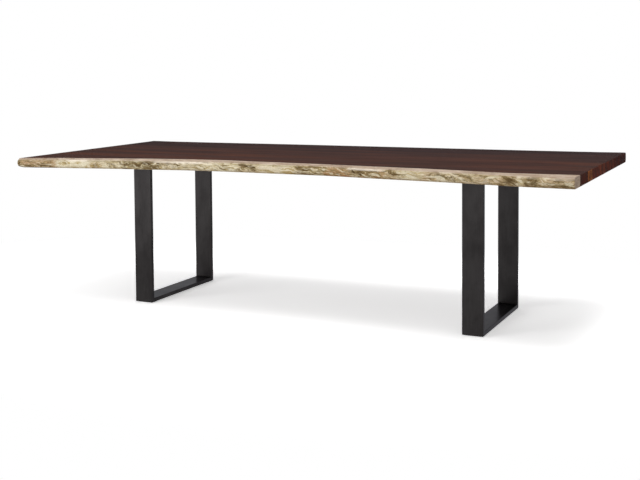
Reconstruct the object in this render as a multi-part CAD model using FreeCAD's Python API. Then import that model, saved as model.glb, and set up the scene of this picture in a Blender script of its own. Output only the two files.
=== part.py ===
"""Live edge dining table: a glued-up slab top with two natural edges, on two welded flat-bar leg frames.

Millimetres. +Z is up, X runs along the table, Y runs from the front edge to the rear edge.
The origin is on the floor, under the middle of the top's overall length and depth.
"""
import FreeCAD
import Part
import math
import os

Vector = FreeCAD.Vector

# ---- Driving dimensions: the top ----
TOP_LENGTH = 2760.0            # between the two sawn ends
TOP_HEIGHT = 762.0             # floor to the upper face
TOP_THICKNESS = 50.0
FRONT_JOINT_Y = -301.0         # glue joint behind the front live edge board
INNER_BOARD_WIDTHS = (105.0, 125.0, 180.0, 125.0, 105.0)
END_ARRIS_RADIUS = 3.0         # rounding of the sawn ends' upper and lower edges

# How far each natural edge stands from the table's centre line, at even steps from the left end to the right.
FRONT_REACH = (696.0, 609.0, 558.0, 518.0, 482.0, 471.0, 470.0, 473.0, 495.0, 514.0, 535.0, 563.0, 582.0)
REAR_REACH = (547.0, 561.0, 580.0, 587.0, 609.0, 628.0, 627.0, 631.0, 649.0, 663.0, 664.0, 684.0, 696.0)
# How far the edge leans back from its fullest line, up at the top face and down at the underside.
FRONT_BEVEL = (38.0, 13.0, 12.0, 15.0, 21.0, 24.0, 21.0, 33.0, 27.0, 24.0, 27.0, 37.0, 40.0)
FRONT_UNDERCUT = (56.0, 11.0, 7.0, 8.0, 10.0, 8.0, 9.0, 13.0, 9.0, 8.0, 10.0, 8.0, 24.0)
REAR_BEVEL = (14.0, 20.0, 26.0, 17.0, 22.0, 31.0, 20.0, 15.0, 23.0, 28.0, 18.0, 22.0, 19.0)
REAR_UNDERCUT = (9.0, 12.0, 8.0, 10.0, 14.0, 9.0, 8.0, 11.0, 9.0, 13.0, 10.0, 8.0, 12.0)
RIDGE_DROP = 11.0              # from the upper face down to the ridge where the bevel ends
RIDGE_SHARE = 0.25             # how much of the bevel's lean is left at the ridge
FULLEST_HEIGHT = 28.0          # height of the edge's fullest line above the underside
TURN_HEIGHT = 10.0             # height above the underside where the undercut quickens
TURN_SHARE = 0.3               # how much of the undercut's lean is reached there
EDGE_OVERRUN = 4.0             # how far the edge's surface is carried past the board's two faces
LUMP_DEPTH = 2.4               # small swells and hollows along the natural edge
LUMP_PITCH = 210.0
RIPPLE_SHARE = 0.6             # size of the shorter ripple that rides on the lumps, against theirs
RIPPLE_RATE = 1.63             # ripples to each lump
LUMP_DRIFT = 0.057             # how the lumps slide along from line to line, in radians to each mm of drop
FRONT_LUMP_START = 0.4         # where the lumps begin at the top face, in radians
REAR_LUMP_START = 2.9
POINT_PITCH = 60.0             # spacing of the points that guide the edge's flowing lines

# ---- Driving dimensions: the leg frames ----
LEG_SPACING = 1756.0           # between the middles of the two frames
LEG_DEPTH = 620.0              # outside of the front post to outside of the rear post
LEG_OFFSET_Y = -23.0           # middle of the frames from the middle of the top's depth
BAR_WIDTH = 100.0
BAR_THICKNESS = 20.0
BAR_ARRIS_RADIUS = 1.0         # rolled corner of the flat bar
WELD_LEG = 6.0                 # fillet weld in each inner corner
WELD_THROAT_SAG = 0.8          # how far the weld's face is hollow
WELD_END_SETBACK = 2.0

# ---- Driving dimensions: fixings ----
BOLT_SPACING_X = 60.0          # across the rail
BOLT_SPACING_Y = 460.0         # along the rail
BOLT_RADIUS = 4.0
BOLT_REACH = 18.0              # how far the bolt goes up past the underside of the top
BOLT_FLANGE_RADIUS = 9.0
BOLT_FLANGE_THICKNESS = 1.4
BOLT_CROWN_RADIUS = 6.5
BOLT_CROWN_FLAT_RADIUS = 4.2
BOLT_CROWN_HEIGHT = 3.2
BOLT_SOCKET_ACROSS_FLATS = 5.0
BOLT_SOCKET_DEPTH = 2.8
BOLT_HOLE_CLEARANCE = 0.5
SLOT_LENGTH = 20.0             # end to end, lets the top move across its grain
INSERT_RADIUS = 7.0
INSERT_LENGTH = 22.0
INSERT_THREAD_CLEARANCE = 0.05
INSERT_BORE_CLEARANCE = 0.05
INSERT_BORE_SPARE_DEPTH = 3.0
PAD_THICKNESS = 3.0            # how high the runner stands off the floor
PAD_LENGTH = 44.0              # along the runner
PAD_SIDE_MARGIN = 6.0          # from the runner's side to the pad
PAD_END_MARGIN = 8.0           # from the runner's end to the pad

# ---- Sizes that follow ----
TOP_UNDERSIDE = TOP_HEIGHT - TOP_THICKNESS
FRAME_BOTTOM = PAD_THICKNESS
FRAME_TOP = TOP_UNDERSIDE
FRAME_FRONT = LEG_OFFSET_Y - LEG_DEPTH / 2
FRAME_REAR = LEG_OFFSET_Y + LEG_DEPTH / 2
RAIL_UNDERSIDE = FRAME_TOP - BAR_THICKNESS
LEG_CENTRES = {"left": -LEG_SPACING / 2, "right": LEG_SPACING / 2}

UP = Vector(0, 0, 1)
ALONG_Y = Vector(0, 1, 0)
PARALLEL_TOLERANCE = 1e-6


def save(shape, node):
    shape.exportStep("parts/" + node + ".step")


def box_between(low, high):
    """Box from its lowest corner to its highest corner."""
    size = high - low
    return Part.makeBox(size.x, size.y, size.z, low)


def face_of(points):
    """Flat face inside a closed outline of straight lines."""
    return Part.Face(Part.makePolygon(points + [points[0]]))


def edges_along(shape, direction):
    """The straight edges of a shape that run along a direction."""
    found = []
    for edge in shape.Edges:
        run = edge.Vertexes[-1].Point - edge.Vertexes[0].Point
        straight = edge.Curve.TypeId == "Part::GeomLine"
        if straight and run.normalize().cross(direction).Length < PARALLEL_TOLERANCE:
            found.append(edge)
    return found


# ---- The top ----

def board_blank(front_y, rear_y):
    """Sawn board with planed faces, its four end arrises rounded over."""
    blank = box_between(
        Vector(-TOP_LENGTH / 2, front_y, TOP_UNDERSIDE),
        Vector(TOP_LENGTH / 2, rear_y, TOP_HEIGHT),
    )
    return blank.makeFillet(END_ARRIS_RADIUS, edges_along(blank, ALONG_Y))


def along_length(values, x):
    """Value at x of the smooth line through values that are evenly spaced along the top."""
    spans = len(values) - 1
    place = (x / TOP_LENGTH + 0.5) * spans
    i = max(0, min(int(place), spans - 1))
    t = place - i
    start, end = values[i], values[i + 1]
    slope_in = (end - values[max(i - 1, 0)]) / 2
    slope_out = (values[min(i + 2, spans)] - start) / 2
    rise = end - start
    bend = slope_in + slope_out - 2 * rise
    return start + t * (slope_in + t * (rise - slope_in + (t - 1) * bend))


def lump(x, phase):
    """Small swell or hollow of a flowing line at x, fading out at the two ends."""
    turn = 2 * math.pi * x / LUMP_PITCH
    wave = math.sin(turn + phase) + RIPPLE_SHARE * math.sin(RIPPLE_RATE * turn + 2 * phase)
    fade = max(0.0, min(1.0, (TOP_LENGTH / 2 - abs(x)) / LUMP_PITCH))
    return LUMP_DEPTH * fade * (wave / (1 + RIPPLE_SHARE) - 1) / 2


def flowing_line(side, reach, height, lean, share, lump_start):
    """Line that follows the tree along the natural edge, at one height above the underside."""
    phase = lump_start + LUMP_DRIFT * (TOP_THICKNESS - height)
    count = math.ceil(TOP_LENGTH / POINT_PITCH)
    pitch = TOP_LENGTH / count
    points = []
    for i in range(-1, count + 2):
        x = i * pitch - TOP_LENGTH / 2
        y = along_length(reach, x) - share * along_length(lean, x) + lump(x, phase)
        points.append(Vector(x, side * y, TOP_UNDERSIDE + height))
    line = Part.BSplineCurve()
    line.interpolate(points)
    return Part.Wire(line.toShape())


def waste_outside_edge(side, reach, bevel, undercut, lump_start):
    """Everything outside the wood that lay under the bark, ruled between flowing lines from top to bottom."""
    past_top = 1 + (1 - RIDGE_SHARE) * EDGE_OVERRUN / RIDGE_DROP
    past_bottom = 1 + (1 - TURN_SHARE) * EDGE_OVERRUN / TURN_HEIGHT
    lines = [
        flowing_line(side, reach, TOP_THICKNESS + EDGE_OVERRUN, bevel, past_top, lump_start),
        flowing_line(side, reach, TOP_THICKNESS - RIDGE_DROP, bevel, RIDGE_SHARE, lump_start),
        flowing_line(side, reach, FULLEST_HEIGHT, bevel, 0.0, lump_start),
        flowing_line(side, reach, TURN_HEIGHT, undercut, TURN_SHARE, lump_start),
        flowing_line(side, reach, -EDGE_OVERRUN, undercut, past_bottom, lump_start),
    ]
    under_bark = Part.makeLoft(lines, False, True)
    return [face.extrude(Vector(0, side * max(reach), 0)) for face in under_bark.Faces]


def bolt_places(leg_x):
    """Middles of the four bolts of one leg frame, at the underside of the top."""
    return [
        Vector(leg_x + i * BOLT_SPACING_X / 2, LEG_OFFSET_Y + j * BOLT_SPACING_Y / 2, TOP_UNDERSIDE)
        for j in (-1, 1)
        for i in (-1, 1)
    ]


def insert_bores():
    """Blind bores in the underside of the top that the threaded inserts are driven into."""
    radius = INSERT_RADIUS + INSERT_BORE_CLEARANCE
    depth = INSERT_LENGTH + INSERT_BORE_SPARE_DEPTH
    places = [place for leg_x in LEG_CENTRES.values() for place in bolt_places(leg_x)]
    return [Part.makeCylinder(radius, depth, place, UP) for place in places]


def make_top():
    """The boards from front to rear, each glued to the last."""
    bores = insert_bores()
    joint = FRONT_JOINT_Y
    front = board_blank(-max(FRONT_REACH) - LUMP_DEPTH, joint)
    front = front.cut(waste_outside_edge(-1, FRONT_REACH, FRONT_BEVEL, FRONT_UNDERCUT, FRONT_LUMP_START))
    save(front.cut(bores), "front_live_edge_board")
    for number, width in enumerate(INNER_BOARD_WIDTHS, 1):
        board = board_blank(joint, joint + width)
        save(board.cut(bores), "heartwood_board_" + str(number))
        joint += width
    rear = board_blank(joint, max(REAR_REACH) + LUMP_DEPTH)
    rear = rear.cut(waste_outside_edge(1, REAR_REACH, REAR_BEVEL, REAR_UNDERCUT, REAR_LUMP_START))
    save(rear.cut(bores), "rear_live_edge_board")


# ---- The leg frames ----

def mitred_bar(leg_x, outline, run):
    """Length of flat bar with mitred ends: its side outline in YZ, and the direction that it runs."""
    side = face_of([Vector(leg_x - BAR_WIDTH / 2, y, z) for y, z in outline])
    bar = side.extrude(Vector(BAR_WIDTH, 0, 0))
    return bar.makeFillet(BAR_ARRIS_RADIUS, edges_along(bar, run))


def frame_corners():
    """Outer and inner corners of a frame in YZ: front bottom, rear bottom, rear top, front top."""
    t = BAR_THICKNESS
    outer = [
        (FRAME_FRONT, FRAME_BOTTOM),
        (FRAME_REAR, FRAME_BOTTOM),
        (FRAME_REAR, FRAME_TOP),
        (FRAME_FRONT, FRAME_TOP),
    ]
    toward = [(t, t), (-t, t), (-t, -t), (t, -t)]
    inner = [(y + dy, z + dz) for (y, z), (dy, dz) in zip(outer, toward)]
    return outer, inner


def bolt_slot(place):
    """Round-ended slot through the rail, running across the top's grain."""
    radius = BOLT_RADIUS + BOLT_HOLE_CLEARANCE
    half = SLOT_LENGTH / 2 - radius
    bottom = place - Vector(0, 0, BAR_THICKNESS)
    ends = [Part.makeCylinder(radius, BAR_THICKNESS, bottom + Vector(0, j * half, 0), UP) for j in (-1, 1)]
    middle = box_between(bottom - Vector(radius, half, 0), place + Vector(radius, half, 0))
    return middle.fuse(ends).removeSplitter()


def make_frame_bars(side, leg_x):
    """The four lengths of bar of one frame, mitred into each other."""
    outer, inner = frame_corners()
    next_outer = outer[1:] + outer[:1]
    next_inner = inner[1:] + inner[:1]
    runner_outline, rear_outline, rail_outline, front_outline = zip(outer, next_outer, next_inner, inner)
    save(mitred_bar(leg_x, runner_outline, ALONG_Y), side + "_floor_runner")
    save(mitred_bar(leg_x, rear_outline, UP), side + "_rear_post")
    save(mitred_bar(leg_x, front_outline, UP), side + "_front_post")
    rail = mitred_bar(leg_x, rail_outline, ALONG_Y)
    save(rail.cut([bolt_slot(place) for place in bolt_places(leg_x)]), side + "_top_rail")


def make_welds(side, leg_x):
    """Fillet weld across each inner corner of the frame, slightly hollow on its face."""
    start = leg_x - BAR_WIDTH / 2 + WELD_END_SETBACK
    length = BAR_WIDTH - 2 * WELD_END_SETBACK
    outer, inner = frame_corners()
    welds = []
    for (outer_y, outer_z), (y, z) in zip(outer, inner):
        into_y = math.copysign(1.0, y - outer_y)
        into_z = math.copysign(1.0, z - outer_z)
        corner = Vector(start, y, z)
        on_bar = corner + Vector(0, into_y * WELD_LEG, 0)
        on_post = corner + Vector(0, 0, into_z * WELD_LEG)
        sag = WELD_THROAT_SAG / math.sqrt(2)
        hollow = (on_bar + on_post) * 0.5 - Vector(0, into_y * sag, into_z * sag)
        face_line = Part.Arc(on_bar, hollow, on_post).toShape()
        outline = Part.Wire([Part.makeLine(corner, on_bar), face_line, Part.makeLine(on_post, corner)])
        welds.append(Part.Face(outline).extrude(Vector(length, 0, 0)))
    save(Part.makeCompound(welds), side + "_frame_welds")


# ---- Fixings ----

def turned(profile):
    """Solid of revolution about Z of a closed outline given as (radius, height) points."""
    return face_of([Vector(r, 0, z) for r, z in profile]).revolve(Vector(0, 0, 0), UP, 360)


def make_bolt():
    """Flanged bolt with a low crowned head and a hexagon socket, standing head down under the rail."""
    seat = RAIL_UNDERSIDE - TOP_UNDERSIDE
    flange_bottom = seat - BOLT_FLANGE_THICKNESS
    crown = flange_bottom - BOLT_CROWN_HEIGHT
    bolt = turned([
        (0, crown),
        (BOLT_CROWN_FLAT_RADIUS, crown),
        (BOLT_CROWN_RADIUS, flange_bottom),
        (BOLT_FLANGE_RADIUS, flange_bottom),
        (BOLT_FLANGE_RADIUS, seat),
        (BOLT_RADIUS, seat),
        (BOLT_RADIUS, BOLT_REACH),
        (0, BOLT_REACH),
    ])
    corner_radius = BOLT_SOCKET_ACROSS_FLATS / math.sqrt(3)
    turns = [i * math.pi / 3 for i in range(6)]
    socket = face_of([Vector(corner_radius * math.cos(a), corner_radius * math.sin(a), crown) for a in turns])
    return bolt.cut(socket.extrude(Vector(0, 0, BOLT_SOCKET_DEPTH)))


def make_insert():
    """Threaded sleeve driven up into the wood, flush with the underside of the top."""
    bore = BOLT_RADIUS + INSERT_THREAD_CLEARANCE
    return turned([(bore, 0), (INSERT_RADIUS, 0), (INSERT_RADIUS, INSERT_LENGTH), (bore, INSERT_LENGTH)])


def copies(shape, places):
    """The same fixing at each place, as one group of separate solids."""
    group = []
    for place in places:
        copy = shape.copy()
        copy.translate(place)
        group.append(copy)
    return Part.makeCompound(group)


def make_pads(side, leg_x):
    """Cut rubber strips stuck under the two ends of the runner, which keep the steel off the floor."""
    half_width = BAR_WIDTH / 2 - PAD_SIDE_MARGIN
    pads = []
    for low_y in (FRAME_FRONT + PAD_END_MARGIN, FRAME_REAR - PAD_END_MARGIN - PAD_LENGTH):
        low = Vector(leg_x - half_width, low_y, 0)
        pads.append(box_between(low, low + Vector(2 * half_width, PAD_LENGTH, PAD_THICKNESS)))
    save(Part.makeCompound(pads), side + "_floor_pads")


def make_fixings(side, leg_x):
    save(copies(make_bolt(), bolt_places(leg_x)), side + "_rail_bolts")
    save(copies(make_insert(), bolt_places(leg_x)), side + "_threaded_inserts")
    make_pads(side, leg_x)


os.makedirs("parts", exist_ok=True)
make_top()
for leg_side, leg_centre in LEG_CENTRES.items():
    make_frame_bars(leg_side, leg_centre)
    make_welds(leg_side, leg_centre)
    make_fixings(leg_side, leg_centre)
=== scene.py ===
import math

import bmesh
import bpy
import numpy as np
from bpy.props import FloatProperty, FloatVectorProperty, IntProperty, PointerProperty
from mathutils import Matrix, Vector, noise
from mathutils.bvhtree import BVHTree


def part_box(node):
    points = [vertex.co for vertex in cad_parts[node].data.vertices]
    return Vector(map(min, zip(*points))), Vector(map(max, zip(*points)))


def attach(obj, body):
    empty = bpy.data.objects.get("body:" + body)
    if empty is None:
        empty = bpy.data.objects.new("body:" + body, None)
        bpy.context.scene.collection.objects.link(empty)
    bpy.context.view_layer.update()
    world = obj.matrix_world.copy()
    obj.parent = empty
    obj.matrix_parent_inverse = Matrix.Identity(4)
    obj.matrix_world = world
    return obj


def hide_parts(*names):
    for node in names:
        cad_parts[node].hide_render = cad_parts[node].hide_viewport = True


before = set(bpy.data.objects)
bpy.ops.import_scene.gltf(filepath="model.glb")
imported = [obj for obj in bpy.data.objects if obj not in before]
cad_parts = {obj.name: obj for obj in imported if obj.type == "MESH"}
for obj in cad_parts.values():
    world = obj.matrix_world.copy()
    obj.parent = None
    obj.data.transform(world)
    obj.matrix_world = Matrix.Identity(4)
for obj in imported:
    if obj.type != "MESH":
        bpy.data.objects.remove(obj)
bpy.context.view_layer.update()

bl_info = {
    "name": "Live Edge Dining Table",
    "version": (1, 0, 0),
    "blender": (4, 5, 0),
    "location": "3D View > Sidebar > Table",
    "description": "Sculpts a table's natural edges, finishes its wood and steel, and sets up a studio",
    "category": "Object",
}

MM = 0.001
SIDES = ("left", "right")


def paint(red, green, blue):
    """A colour on a 0 to 255 scale, in the linear numbers that a shader takes."""
    linear = []
    for part in (red, green, blue):
        share = part / 255
        linear.append(share / 12.92 if share <= 0.04045 else ((share + 0.055) / 1.055) ** 2.4)
    return tuple(linear)


def colour(name, description, rgb):
    return FloatVectorProperty(
        name=name, description=description, default=paint(*rgb), size=3, min=0, max=1, subtype="COLOR"
    )


def number(name, description, default, **kind):
    return FloatProperty(name=name, description=description, default=default, **kind)


def length(name, description, default):
    return number(name, description, default, min=0, unit="LENGTH", precision=4)


def factor(name, description, default):
    return number(name, description, default, min=0, max=1, subtype="FACTOR")


# ---- Settings ----

class EdgeSettings(bpy.types.PropertyGroup):
    station_pitch: length("Station Pitch", "Spacing of the cross-sections along a natural edge", 3.2 * MM)
    levels: IntProperty(name="Levels", description="Points down a natural edge", default=34, min=8)
    end_arris: length("End Arris", "Rounding of the sawn ends' upper and lower edges", 3 * MM)
    tip_length: length("Tip Length", "How far from a sawn end the natural edge grows blunter", 150 * MM)
    tip_fill: factor("Tip Fill", "How much of the bevel and the undercut is filled at a sawn end", 0.6)
    swell: length("Swell", "Broad rise and fall of the wood that lay under the bark", 2.2 * MM)
    ridges: length("Ridges", "Height of the long ridges that follow the grain", 1.3 * MM)
    plates: length("Plates", "Height of the broken plates left by the last layer under the bark", 1.4 * MM)


class WoodSettings(bpy.types.PropertyGroup):
    heart_dark: colour("Dark Streak", "Dark streaks of the heartwood", (44, 28, 25))
    heart_middle: colour("Heartwood", "Main colour of the heartwood", (64, 43, 38))
    heart_red: colour("Red Streak", "Reddish streaks of the heartwood", (88, 51, 38))
    heart_end: colour("End Grain", "Reddish end grain of the heartwood", (128, 62, 46))
    heart_amber: colour("Amber", "Orange-brown end grain of the lightest board", (150, 90, 48))
    sap_cream: colour("Cream", "Main colour of the sapwood", (228, 218, 191))
    # Painted highlight: this near-white colour is laid along the ridge below the bevel as a glint of light.
    sap_ridge: colour("Ridge", "Pale ridge below the bevel", (240, 229, 216))
    sap_gold: colour("Gold", "Yellow streaks of the sapwood", (186, 165, 117))
    # Olive is the sapwood's own weathered colour, and is also laid as painted shade on ridges that get no
    # highlight.
    sap_olive: colour("Olive", "Weathered patches of the sapwood", (138, 121, 86))
    sap_tan: colour("Tan", "Orange-brown stretches of the sapwood", (168, 119, 79))
    sap_rose: colour("Rose", "Greyish pink sapwood on the upper face and the bevel", (186, 166, 152))
    sap_rose_dark: colour("Dark Rose", "Darker grain in the pink sapwood", (146, 124, 110))
    # Inner Bark is real bark in the hollows, and is also laid as painted shade along the foot of each natural
    # edge.
    bark_brown: colour("Inner Bark", "Bark left in the hollows", (100, 77, 46))
    bark_dark: colour("Dark Bark", "Bottoms of the hollows and cracks", (72, 53, 31))
    wood_roughness: factor("Roughness", "Roughness of the oiled wood", 0.8)


class SteelSettings(bpy.types.PropertyGroup):
    gunmetal: colour("Gunmetal", "Main colour of the leg frames", (51, 49, 49))
    gunmetal_dark: colour("Dark Gunmetal", "Darker clouds in the finish", (40, 38, 38))
    black_oxide: colour("Black Oxide", "Finish of the bolts", (40, 40, 42))
    brass: colour("Brass", "Threaded inserts", (196, 172, 120))
    rubber: colour("Rubber", "Strips under the frames", (30, 30, 30))
    bead_pitch: length("Bead Pitch", "Spacing of the ripples in a weld bead", 2.4 * MM)
    bead_ripple: length("Bead Ripple", "Depth of the ripples in a weld bead", 0.3 * MM)


class StageSettings(bpy.types.PropertyGroup):
    camera_place: FloatVectorProperty(
        name="Camera", description="Where it stands", default=(2.2836, -5.0066, 1.2516), unit="LENGTH"
    )
    camera_yaw: number("Turn", "Turn to the left", 0.4318, subtype="ANGLE")
    camera_pitch: number("Tilt", "Tilt down", 0.0563, subtype="ANGLE")
    camera_roll: number("Roll", "Lean to one side", -0.0067, subtype="ANGLE")
    camera_lens: number("Lens", "Focal length in millimetres", 61.26, min=1, unit="CAMERA")
    camera_shift: number("Shift", "Vertical lens shift", -0.1875)
    floor: colour("Floor", "Pale studio floor", (238, 238, 238))
    key_watts: number("Key Light", "Power of the large overhead light", 160, min=0, unit="POWER")
    front_watts: number("Front Light", "Power of the front light", 94, min=0, unit="POWER")
    low_watts: number("Low Light", "Power of the light on the left legs", 10, min=0, unit="POWER")
    right_watts: number("Right Light", "Power of the light on the right legs", 6, min=0, unit="POWER")
    ambient: number("Ambient", "Strength of the light from all round", 0.45, min=0)


# ---- Node sheets ----

class NodeSheet:
    """Places and links the nodes of one material or group."""

    def __init__(self, tree):
        self.tree = tree
        tree.nodes.clear()

    def fill(self, socket, value):
        if isinstance(value, bpy.types.NodeSocket):
            self.tree.links.new(value, socket)
        elif socket.type == "RGBA" and len(value) == 3:
            socket.default_value = (*value, 1)
        else:
            socket.default_value = value

    def fill_all(self, sockets, **values):
        for name, value in values.items():
            self.fill(sockets[name.replace("_", " ")], value)

    def add(self, kind, inputs=(), **settings):
        node = self.tree.nodes.new("ShaderNode" + kind)
        for name, value in settings.items():
            setattr(node, name, value)
        for key, value in dict(inputs).items():
            self.fill(node.inputs[key], value)
        return node

    def group(self, name, **inputs):
        """Outputs of a shared effect, which is built where it is first used."""
        node = self.add("Group", node_tree=bpy.data.node_groups.get(name) or EFFECTS[name](name))
        self.fill_all(node.inputs, **inputs)
        return node.outputs

    def made(self, kind, inputs=(), **settings):
        """First output of a new node."""
        return self.add(kind, inputs, **settings).outputs[0]

    def coords(self):
        return self.add("TexCoord").outputs

    def split(self, vector):
        return self.add("SeparateXYZ", {"Vector": vector}).outputs

    def moved(self, place, **steps):
        """A place moved by a step along each axis that is named."""
        return self.vector("ADD", place, self.made("CombineXYZ", steps))

    def math(self, operation, *values):
        return self.made("Math", enumerate(values), operation=operation)

    def vector(self, operation, *values):
        return self.made("VectorMath", enumerate(values), operation=operation)

    def times(self, value, amount, base=0.0):
        """A value times an amount, added to a base."""
        return self.math("MULTIPLY_ADD", value, amount, base)

    def minus(self, value, other):
        return self.math("SUBTRACT", value, other)

    def noise(self, place, stretch, detail=4.0, roughness=0.55, distortion=0.0):
        """Noise that changes about as often in a metre along, across and up as its stretch says."""
        inputs = {"Scale": 1, "Detail": detail, "Roughness": roughness, "Distortion": distortion}
        inputs["Vector"] = self.vector("MULTIPLY", place, stretch)
        return self.add("TexNoise", inputs).outputs["Fac"]

    def ease(self, value, low, high):
        """0 at low, 1 at high, and a smooth step between them."""
        inputs = {"Value": value, "From Min": low, "From Max": high}
        return self.made("MapRange", inputs, interpolation_type="SMOOTHSTEP")

    def swing(self, value, amount, base=0.0, middle=0.5):
        """How far a value lies above its middle, times an amount, added to a base."""
        return self.times(self.minus(value, middle), amount, base)

    def off_middle(self, value):
        """How far a noise lies from 0.5, which is small along thin winding lines."""
        return self.math("ABSOLUTE", self.minus(value, 0.5))

    def mix(self, share, first, second):
        """A colour between two others."""
        return self.add("Mix", {0: share, 6: first, 7: second}, data_type="RGBA").outputs[2]

    def between(self, share, first, second):
        """A number between two others."""
        return self.made("Mix", {0: share, 2: first, 3: second}, data_type="FLOAT")

    def stained(self, surface, *stains):
        """A colour with others laid over it in turn, each as far as its mask and its strength let it."""
        for stain, mask, strength in stains:
            surface = self.mix(self.times(mask, strength), surface, stain)
        return surface


def new_group(name, colours, numbers=(), vectors=(), gives=("Roughness", "Height")):
    """Empty shader node group, its sheet, what it is given, and the sockets that take its results."""
    group = bpy.data.node_groups.new(name, "ShaderNodeTree")
    takes = (("INPUT", "Color", colours), ("INPUT", "Float", numbers), ("INPUT", "Vector", vectors))
    for way, kind, sockets in (*takes, ("OUTPUT", "Color", ("Color",)), ("OUTPUT", "Float", gives)):
        for socket in sockets:
            group.interface.new_socket(name=socket, in_out=way, socket_type="NodeSocket" + kind)
    sheet = NodeSheet(group)
    given = group.nodes.new("NodeGroupInput").outputs
    return group, sheet, given, group.nodes.new("NodeGroupOutput").inputs


# ---- Shared effects ----

PITH_HEIGHT = 0.55  # where the growth rings turn about, above the floor
PITH_SHIFT = 0.9  # how far the grain's offset moves it across
RING_RATE = 900  # how fast the rings follow one another
RING_WOBBLE = 9  # how unevenly they run


def heartwood_grain(name):
    """Long grain with dark and red streaks, and growth rings where the wood is sawn across."""
    group, sheet, given, results = new_group(
        name,
        ("Dark", "Middle", "Red", "End"),
        ("Offset", "Redness"),
        gives=("Roughness", "Height", "Rings", "Sawn End"),
    )
    dark, middle, red = given["Dark"], given["Middle"], given["Red"]
    coords = sheet.coords()
    place = sheet.moved(coords["Object"], X=given["Offset"], Y=given["Offset"])
    drift = sheet.noise(place, (1.3, 3, 3), detail=2)
    flow = sheet.moved(place, Y=sheet.swing(drift, 0.05))
    broad = sheet.noise(flow, (0.5, 9, 9), detail=3)
    shade = sheet.noise(flow, (1.4, 5, 5), detail=2)
    streak = sheet.noise(flow, (1.1, 48, 48), detail=6, roughness=0.62)
    ribbons = sheet.noise(flow, (0.8, 24, 24), detail=3)
    fine = sheet.noise(flow, (7, 330, 330), detail=3, roughness=0.6)
    veins = sheet.off_middle(sheet.noise(flow, (0.9, 34, 34), roughness=0.5))
    pores = sheet.ease(sheet.noise(flow, (60, 1500, 1500), detail=1), 0.60, 0.70)
    long_grain = sheet.stained(
        sheet.mix(sheet.ease(streak, 0.30, 0.62), dark, middle),
        (red, sheet.times(sheet.ease(broad, 0.42, 0.70), given["Redness"]), 0.7),
        (dark, sheet.ease(shade, 0.50, 0.34), 0.55),
        (red, sheet.ease(shade, 0.52, 0.68), 0.40),
        (red, sheet.ease(ribbons, 0.60, 0.70), 0.35),
        (dark, sheet.ease(fine, 0.46, 0.32), 0.7),
        (dark, sheet.ease(veins, 0.022, 0.004), 0.6),
        (dark, pores, 0.5),
    )

    split = sheet.split(place)
    across = sheet.minus(split["Y"], sheet.times(given["Offset"], PITH_SHIFT))
    up = sheet.minus(split["Z"], PITH_HEIGHT)
    radius = sheet.math("SQRT", sheet.times(across, across, sheet.times(up, up)))
    wobble = sheet.noise(place, (2, 26, 26), detail=3)
    turns = sheet.times(radius, RING_RATE, sheet.times(wobble, RING_WOBBLE))
    rings = sheet.times(sheet.math("SINE", turns), 0.5, 0.5)
    cloud = sheet.noise(place, (2, 20, 24), detail=3)
    specks = sheet.noise(place, (20, 1500, 1500), detail=1)
    end_grain = sheet.stained(
        middle,
        (given["End"], sheet.times(given["Redness"], 0.4, sheet.ease(cloud, 0.34, 0.64)), 0.72),
        (dark, rings, 0.45),
        (dark, sheet.ease(specks, 0.58, 0.68), 0.7),
    )

    sawn_end = sheet.ease(sheet.math("ABSOLUTE", sheet.split(coords["Normal"])["X"]), 0.55, 0.80)
    sheet.fill_all(
        results,
        Color=sheet.mix(sawn_end, long_grain, end_grain),
        Roughness=sheet.swing(streak, 0.25, 1),
        Height=sheet.minus(sheet.times(fine, 0.5), sheet.times(pores, 0.5)),
        Rings=rings,
        Sawn_End=sawn_end,
    )
    return group


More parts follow.
